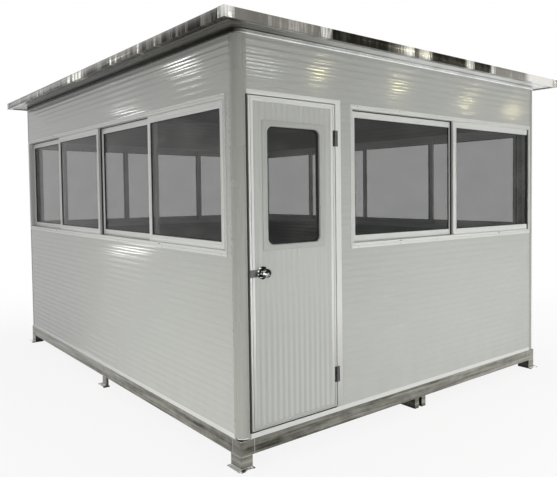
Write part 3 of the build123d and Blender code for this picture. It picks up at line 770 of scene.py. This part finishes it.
# points of a rounded rectangle and their outward directions: corner centre + r * (cos, sin)
def roundedPath(centre, halfWidth, halfHeight, radius, arc):
    turn = np.linspace(0, math.pi / 2, arc)
    quarters = [(1, 1, 0), (-1, 1, 1), (-1, -1, 2), (1, -1, 3)]
    angle = np.concatenate([turn + q * math.pi / 2 for _, _, q in quarters])
    cx = np.repeat([sx * (halfWidth - radius) for sx, _, _ in quarters], arc)
    cy = np.repeat([sy * (halfHeight - radius) for _, sy, _ in quarters], arc)
    direction = np.stack([np.cos(angle), np.sin(angle)], 1)
    return np.stack([cx, cy], 1) + centre + radius * direction, direction


low, high = boxes["cornice"]
path, direction = roundedPath(np.zeros(2), high[0], high[1], cornice["radius"], cornice["arc"])
origins = np.column_stack([path, np.full(len(path), low[2])])
axes = np.column_stack([direction, np.zeros(len(path))])
tall, depth, groove, slope = high[2] - low[2], cornice["depth"], cornice["groove"], cornice["slope"]
gapFoot, gapBack = tall - cornice["gapHeight"], -cornice["gapDepth"]
moulding = [(-depth, 0), (-4 * mm, 0), (-1 * mm, 1.5 * mm), (0, 3 * mm)]
for start, end in cornice["grooves"]:
    moulding += [(0, start * tall), (-groove, (start + slope) * tall), (-groove, (end - slope) * tall),
                 (0, end * tall)]
moulding += [(0, gapFoot - 1 * mm), (-1 * mm, gapFoot), (gapBack, gapFoot), (gapBack, tall), (-depth, tall)]
makePiece("cornice_moulding", [carry(moulding, origins, axes, up, True)], "fascia_metal", ("cornice",),
          corniceFinish)
# a black strip in the recess under the soffit: painted shade for the seam's shadow
seamShade = [(gapBack - 1 * mm, gapFoot - 0.5 * mm), (gapBack + 3 * mm, gapFoot - 0.5 * mm),
           (gapBack + 2 * mm, tall - 0.2 * mm), (gapBack - 1 * mm, tall - 0.2 * mm)]
makePiece("cornice_seam_shade", [carry(seamShade, origins, axes, up, True)], "dark_metal", finish=rubberAndShadeFinish)


# roof: lapped sheets on top, and the boards of the ceiling and soffit below
roof = {"laps": 6, "lapDrop": 2 * mm, "lapWidth": 4 * mm, "rib": 3.2 * mm, "ribWidth": 14 * mm,
        "ribsPerSheet": 4, "samples": 1201, "ceiling": 9 * mm, "ceilingInset": 40 * mm, "boards": 4,
        "boardEdge": 1 * mm, "soffitRib": 1.2 * mm, "fasciaEdge": 1.2 * mm, "capEdge": 0.6 * mm}
low, high = boxes["roof_panel"]
ends = np.array([[low[0], 0, 0], [high[0], 0, 0]])

# height(s) = top - rib * (1 - exp(-(from rib / half its width)^4)) - lapDrop * exp(-(from lap / lapWidth)^2)
s = np.linspace(low[1], high[1], roof["samples"])
sheetWidth = (high[1] - low[1]) / roof["laps"]
ribPitch = sheetWidth / roof["ribsPerSheet"]
raised = np.exp(-((np.mod(s - low[1], ribPitch) - ribPitch / 2) / (roof["ribWidth"] / 2)) ** 4)
fromLap = np.mod(s - low[1] + sheetWidth / 2, sheetWidth) - sheetWidth / 2
lap = np.exp(-(fromLap / roof["lapWidth"]) ** 2)
crown = np.stack([s, high[2] - roof["rib"] * (1 - raised) - roof["lapDrop"] * lap], 1)
under = [(high[1], low[2] + roof["ceiling"]), (low[1], low[2] + roof["ceiling"])]
makePiece("roof_sheets", [carry(np.concatenate([crown, under]), ends, (0, 1, 0), up)], "roof_sheet",
          ("roof_panel",))

# soffit: outline (t, n) with t = 0 at the roof's edge and 1 at the ceiling, carried round as a mitred ring
insideX, insideY = halfX - roof["ceilingInset"], halfY - roof["ceilingInset"]
reachX, reachY = high[0] - insideX, high[1] - insideY
signs = np.array([(-1, -1), (1, -1), (1, 1), (-1, 1)])
ringCorners = np.column_stack([signs * high[:2], np.full(4, low[2])])
inward = np.column_stack([signs * (-reachX, -reachY), np.zeros(4)])
thick, rib = roof["ceiling"], roof["soffitRib"]
soffitOutline = [(0, 0), (0.20, 0), (0.22, rib), (0.24, 0), (0.40, 0), (0.42, rib), (0.44, 0), (1, 0),
                 (1, thick), (0, thick)]
makePiece("roof_soffit", [carry(soffitOutline, ringCorners, inward, up, True)], "fascia_metal",
          ("roof_panel",), soffitFinish)

seams = np.linspace(-insideY, insideY, roof["boards"] + 1)
edge = roof["boardEdge"]
boards = []
for seamLow, seamHigh in zip(seams + edge, seams[1:] - edge):
    board = [(seamLow, thick), (seamLow, edge), (seamLow + edge, 0), (seamHigh - edge, 0), (seamHigh, edge),
             (seamHigh, thick)]
    boards.append(carry(board, [[-insideX, 0, low[2]], [insideX, 0, low[2]]], (0, 1, 0), up))
makePiece("ceiling_boards", boards, "wall_panel", ("roof_panel",), shadedCeilingFinish)
easedCopy("roof_fascia", "fascia_metal", roof["fasciaEdge"])
easedCopy("fascia_corner_caps", "fascia_metal", roof["capEdge"], cornerCapFinish)
print("roof done")


door = {"stile": 34 * mm, "topRail": 30 * mm, "bottomRail": 23 * mm, "ribPitch": 39.8 * mm,
        "ribDepth": 3.0 * mm, "ribSoftness": 0.9, "hide": 3 * mm, "frameEdge": 1.5 * mm,
        "stripLeft": 16 * mm, "stripRight": 6.5 * mm, "stripEnd": 4 * mm, "stripFace": 0.6 * mm}
frontRight, frontOut = walls["front"][1:]
(doorLeft, doorRight, doorBottom, doorTop), (back, front) = wallExtent("front", "door_leaf_frame")

# the leaf's bars: a flat lip, a channel, a raised band, and a step down to the panel
leafBar = barOutline(front, back,
                     [(0, 2.5), (0.03, 0.6), (0.08, 0), (0.36, 0), (0.38, 4), (0.48, 4), (0.50, 0), (0.92, 0),
                      (0.97, 0.8), (1, 3)],
                     [(1, 3), (0.94, 0), (0.05, 0), (0, 2)])
leaf = mitredRing("front", (doorLeft, doorRight, doorBottom, doorTop),
                  (door["stile"], door["stile"], door["bottomRail"], door["topRail"]), leafBar)

# black strips beside the leaf and on the threshold under it: painted shade for the gaps round the leaf
sideGapShade = uprightStrip("front", doorLeft - door["stripLeft"], doorLeft - door["stripRight"],
                         doorBottom - door["stripEnd"], doorTop + door["stripEnd"],
                         -6 * mm, door["stripFace"])
thresholdTop = boxes["wall_tracks"][1][2]
footGapShade = uprightStrip("front", doorLeft + 1 * mm, doorRight - 1 * mm, thresholdTop - 0.5 * mm,
                         doorBottom - 3 * mm, back, front - 1 * mm)
makePiece("door_gap_shade", [sideGapShade, footGapShade], "dark_metal", finish=rubberAndShadeFinish)
makePiece("door_leaf_frame_profiled", [leaf], "door_metal", ("door_leaf_frame",), body="door")
easedCopy("door_frame", "door_metal", door["frameEdge"])

(panelLeft, panelRight, panelBottom, panelTop), panelOut = wallExtent("front", "door_leaf_panel")
lightLeft, lightRight, lightBottom, lightTop = wallExtent("front", "door_glass")[0]
hide = door["hide"]


# a span of the leaf's panel: the ribbed profile with s along the wall, carried upwards
def doorShell(left, right, bottom, top):
    profile = ribbedProfile(left, right, panelOut[1], panelOut[0],
                            door["ribPitch"], door["ribDepth"], door["ribSoftness"])
    ends = onWall("front", 0.0, np.array([bottom, top]))
    return carry(profile, ends, frontOut, frontRight)


cutLeft, cutRight = lightLeft - hide, lightRight + hide
skins = [doorShell(panelLeft, cutLeft, panelBottom, panelTop),
         doorShell(cutRight, panelRight, panelBottom, panelTop),
         doorShell(cutLeft, cutRight, panelBottom, lightBottom - hide),
         doorShell(cutLeft, cutRight, lightTop + hide, panelTop)]
panelFace = -halfY - panelOut[1]
# the door's sheet takes painted shade in the bottoms of its rib grooves
doorSheetFinish = sheetFinish("doorSheet", (0.515, 0.525, 0.51), 0.05, 0.10,
                              grooves=(panelFace + 0.2 * mm, panelFace + door["ribDepth"]))
makePiece("door_leaf_panel_ribbed", skins, "wall_panel", ("door_leaf_panel",), doorSheetFinish, "door")

# trim on each face of the leaf: from the rounded clear opening out to nearly square corners,
# point = inner path + t * (outer path - inner path) + n * outwards; crown is (t, millimetres under the crest)
trim = {"width": 34 * mm, "seat": 9 * mm, "proud": 8 * mm, "radius": 38 * mm, "outerRadius": 6 * mm,
        "arc": 14, "crown": ((0, 4), (0.05, 1.5), (0.14, 0), (0.30, 0), (0.36, 1.6), (0.42, 1.6), (0.90, 3),
                             (0.97, 4), (1, 6))}
centre = np.array([(lightLeft + lightRight) / 2, (lightBottom + lightTop) / 2])
clearHalf = np.array([lightRight - lightLeft, lightTop - lightBottom]) / 2 - trim["seat"]
glassOut = wallExtent("front", "door_glass")[1]
inner, direction = roundedPath(centre, *clearHalf, trim["radius"], trim["arc"])
outer, _ = roundedPath(centre, *(clearHalf + trim["width"]), trim["outerRadius"], trim["arc"])
origins = onWall("front", inner[:, 0], inner[:, 1])
across = (outer - inner)[:, :1] * frontRight + (outer - inner)[:, 1:] * up
radial = direction[:, :1] * frontRight + direction[:, 1:] * up
rings, darkStrips = [], []
for face, glassFace, sign in ((panelOut[1], glassOut[1], 1), (panelOut[0], glassOut[0], -1)):
    crest = face + sign * trim["proud"]
    crown = [(t, crest - sign * drop * mm) for t, drop in trim["crown"]]
    shape = [(0, glassFace), *crown, (1, face), (0.25, face), (0.25, glassFace)]
    rings.append(carry(shape, origins, across, frontOut, True))
    bead = [(-8 * mm, glassFace), (-8 * mm, glassFace + sign * 2 * mm),
            (0.5 * mm, glassFace + sign * 9 * mm), (0.5 * mm, glassFace)]
    darkStrips.append(carry(bead, origins, radial, frontOut, True))
makePiece("door_window_trim_moulded", rings, "wall_panel", ("door_window_trim",), body="door")
makePiece("door_window_seal", darkStrips, "dark_metal", (), rubberAndShadeFinish, "door")
print("door leaf done")


knob = {"noseDepth": 17 * mm, "steps": 40, "spindle": 7.9 * mm, "spindleInset": 50 * mm, "hole": 8.6 * mm,
        "roseSteps": 48, "latchEdge": 0.8 * mm, "hingeEdge": 0.5 * mm, "barrel": 3 * mm}
(knobLeft, knobRight, knobBottom, knobTop), knobOut = wallExtent("front", "door_knobs")
knobAt = ((knobLeft + knobRight) / 2, (knobBottom + knobTop) / 2)
knobR = (knobRight - knobLeft) / 2

# (radius, depth behind the end) of a knob: a recess for the key, a nose (r sin^0.8 a, depth * (1 - cos a)),
# a waist and a neck; and of the key's plate
turn = np.linspace(0, math.pi / 2, 10)[3:]
recess = np.array([(0.4, 2.5), (6, 2.5), (7, 0.3)]) * mm
nose = np.stack([knobR * np.sin(turn) ** 0.8, knob["noseDepth"] * (1 - np.cos(turn))], 1)
neck = np.array([(0.985, 24), (0.9, 31), (0.66, 37), (0.46, 41), (0.42, 54)]) * (knobR, mm)
knobProfile = np.concatenate([recess, nose, neck])
keyProfile = np.array([(0.6, 1.4), (4.6, 1.2), (5.4, 1.8), (5.4, 3)]) * mm
shells, keys = [], []
for end, sign in ((knobOut[1], 1), (knobOut[0], -1)):
    shells.append(turned("front", *knobAt, knobProfile * (1, -sign) + (0, end), knob["steps"]))
    keys.append(turned("front", *knobAt, keyProfile * (1, -sign) + (0, end), 20))
spindle = [(knob["spindle"], knobOut[1] - knob["spindleInset"]),
           (knob["spindle"], knobOut[0] + knob["spindleInset"])]
shells.append(turned("front", *knobAt, spindle, 24))
makePiece("knob_key_plates", keys, "knob_metal", (), weldFinish, "knob")
makePiece("door_knobs_turned", shells, "knob_metal", ("door_knobs",), body="knob")

# roses: a (radius, out) outline with a hole for the spindle, turned round the knob's axis
roseBox, roseOut = wallExtent("front", "knob_roses")
roseR = (roseBox[1] - roseBox[0]) / 2
origins, radial = aroundAxis("front", *knobAt, knob["roseSteps"])
shells = []
for face, end, sign in ((panelOut[1], roseOut[1], 1), (panelOut[0], roseOut[0], -1)):
    crown = [(roseR * t, end - sign * drop * mm) for t, drop in ((0.5, 0), (0.78, 0.8), (0.93, 2.4), (1, 4.5))]
    shape = [(knob["hole"], end), *crown, (roseR, face), (knob["hole"], face)]
    shells.append(carry(shape, origins, radial, frontOut, True))
makePiece("knob_roses_turned", shells, "knob_metal", ("knob_roses",), body="door")
easedCopy("latch_guard", "dark_metal", knob["latchEdge"], latchFinish, body="door")

for node, body in (("hinge_jamb_halves", "booth"), ("hinge_door_halves", "door")):
    easedCopy(node, "dark_metal", knob["hingeEdge"], None,
              barrelFinish, lambda centre: centre[:, 1] < -halfY - knob["barrel"], body)
print("lock and hinges done")


# one studio: a world that gives soft fill and shows as white, a pale floor, and soft lamps;
# the floor shows near white close by, so that it keeps a shadow, and white from near to far
studio = {"fill": (1.0, 1.0, 0.975), "fillStrength": 0.275, "reach": 60.0, "glow": 0.88,
          "near": 3.2, "far": 6.5, "bounce": (0.78, 0.78, 0.78), "seen": (0.92, 0.92, 0.92)}
bpy.context.scene.world = bpy.data.worlds.new("studio")
worldNodes = NodeMaker(bpy.context.scene.world)
fill = worldNodes.value("Background", {}, {0: studio["fill"], 1: studio["fillStrength"]})
white = worldNodes.value("Background", {}, {0: (1, 1, 1), 1: 1.0})
mixed = worldNodes.value("MixShader", {}, {0: worldNodes.seenDirectly(), 1: fill, 2: white})
worldNodes.node("OutputWorld", {}, {0: mixed})

floorMesh = bpy.data.meshes.new("floor")
floorCorners = [(x * studio["reach"], y * studio["reach"], -1 * mm)
                for x, y in ((-1, -1), (1, -1), (1, 1), (-1, 1))]
floorMesh.from_pydata(floorCorners, [], [(0, 1, 2, 3)])
floor = newObject("floor", floorMesh)
floorFinish = Finish("paleFloor", Roughness=0.9, Specular_IOR_Level=0.0)
seen = floorFinish.seenDirectly()
distance = floorFinish.math("SQRT", floorFinish.x * floorFinish.x + floorFinish.y * floorFinish.y)
farther = floorFinish.rise(distance, studio["near"], studio["far"])
share = seen * (studio["glow"] + (1 - studio["glow"]) * farther)
floorFinish.feed(Base_Color=floorFinish.blend(seen, studio["bounce"], studio["seen"]))
glow = floorFinish.value("Emission", {}, {"Color": (1, 1, 1), "Strength": 1.0})
mixed = floorFinish.value("MixShader", {}, {0: share, 1: floorFinish.shader.outputs[0], 2: glow})
floorFinish.tree.links.new(mixed.socket, floorFinish.output.inputs["Surface"])
floorMesh.materials.append(floorFinish.material)


# puts a lamp or camera at a place, with its back to a direction and turned about it by a roll
def standAt(item, place, away, roll=0.0):
    side = np.cross(up, away)
    side /= np.linalg.norm(side)
    tall = np.cross(away, side)
    matrix = np.eye(4)
    matrix[:3] = np.column_stack([side * math.cos(roll) + tall * math.sin(roll),
                                  tall * math.cos(roll) - side * math.sin(roll), away, place])
    item.matrix_world = Matrix(matrix.tolist())


# a rectangular lamp that shines from its place at its aim and isn't seen itself
def areaLamp(name, place, aim, size, watts, colour, spread=180, mirrored=True):
    lamp = bpy.data.lights.new(name, "AREA")
    lamp.shape = "RECTANGLE"
    lamp.size, lamp.size_y = size
    lamp.energy = watts
    lamp.color = colour
    lamp.spread = math.radians(spread)
    holder = newObject(name, lamp)
    holder.visible_camera = holder.visible_transmission = False
    holder.visible_glossy = mirrored
    away = np.array(place, float) - np.array(aim, float)
    standAt(holder, place, away / np.linalg.norm(away))


# soft lamps: (place, aim, size, watts, colour, spread); they light surfaces from low down,
# and mirrors show the white round them
plainWhite, warmWhite = (1.0, 1.0, 0.99), (1.0, 0.995, 0.94)
softLamps = {
    "frontSoft": ((0.9, -7.2, 0.6), (0.5, -2.2, 0.4), (4.6, 0.9), 50, plainWhite, 88),
    "leftSoft": ((-6.6, -2.3, 0.4), (-1.5, -1.6, -0.1), (3.4, 0.8), 31, warmWhite, 66),
    "rightSoft": ((7.0, 1.0, 1.2), (1.5, 0.0, 1.1), (3.4, 1.8), 50, plainWhite, 100),
    "backSoft": ((0.5, 7.7, 1.2), (0.0, 2.2, 1.1), (3.4, 1.8), 50, plainWhite, 100),
    "topSoft": ((0.3, -0.4, 9.5), (0.0, 0.0, 2.5), (4.0, 4.0), 300, plainWhite, 180),
}
for name, settings in softLamps.items():
    areaLamp(name, *settings, mirrored=False)

# small hall lamps, far off, that show as glints in the sheets: (place, size, watts, colour)
hallAim, yellow, cool = (0, 0, 1.5), (1.0, 0.93, 0.50), (1.0, 1.0, 0.98)
hallLamps = [((9.1, -15.0, 5.5), (0.32, 0.26), 17, yellow), ((12.9, -15.2, 5.5), (0.32, 0.26), 17, yellow),
             ((17.6, -15.7, 5.5), (0.32, 0.26), 17, yellow), ((21.2, -15.9, 5.5), (0.32, 0.26), 18, yellow),
             ((6.2, -14.6, 5.5), (0.3, 0.14), 4, cool), ((6.9, -15.0, 5.5), (0.3, 0.14), 4, cool),
             ((7.6, -15.4, 5.5), (0.3, 0.14), 4, cool), ((-8.1, 12.3, 5.5), (0.8, 0.4), 11, cool),
             ((-6.8, 12.9, 4.0), (0.8, 0.1), 2.5, cool), ((-5.3, 9.1, 0.3), (0.8, 0.14), 3, cool)]
for number, (place, size, watts, colour) in enumerate(hallLamps):
    areaLamp(f"hallLamp{number}", place, hallAim, size, watts, colour)

# the camera: angles in degrees; focal length and optical centre in the unit of the image's width and height
camera = {"place": (-3.272, -5.207, 1.5775), "yaw": -42.9586, "pitch": -2.2157, "roll": -0.4050,
          "focal": 611.30, "centre": (374.48, 217.01), "image": (557, 477), "clipEnd": 500}
yaw, pitch, roll = (math.radians(camera[k]) for k in ("yaw", "pitch", "roll"))
look = np.array([-math.sin(yaw) * math.cos(pitch), math.cos(yaw) * math.cos(pitch), math.sin(pitch)])
cameraData = bpy.data.cameras.new("camera")
cameraData.sensor_fit = "HORIZONTAL"
cameraData.sensor_width = 36
imageWidth, imageHeight = camera["image"]
cameraData.lens = camera["focal"] / imageWidth * cameraData.sensor_width
cameraData.shift_x = (imageWidth / 2 - camera["centre"][0]) / imageWidth
cameraData.shift_y = (camera["centre"][1] - imageHeight / 2) / imageWidth
cameraData.clip_end = camera["clipEnd"]
cameraObject = newObject("camera", cameraData)
standAt(cameraObject, camera["place"], -look, roll)
bpy.context.scene.camera = cameraObject
bpy.context.scene.view_settings.view_transform = "Standard"
print("studio done")
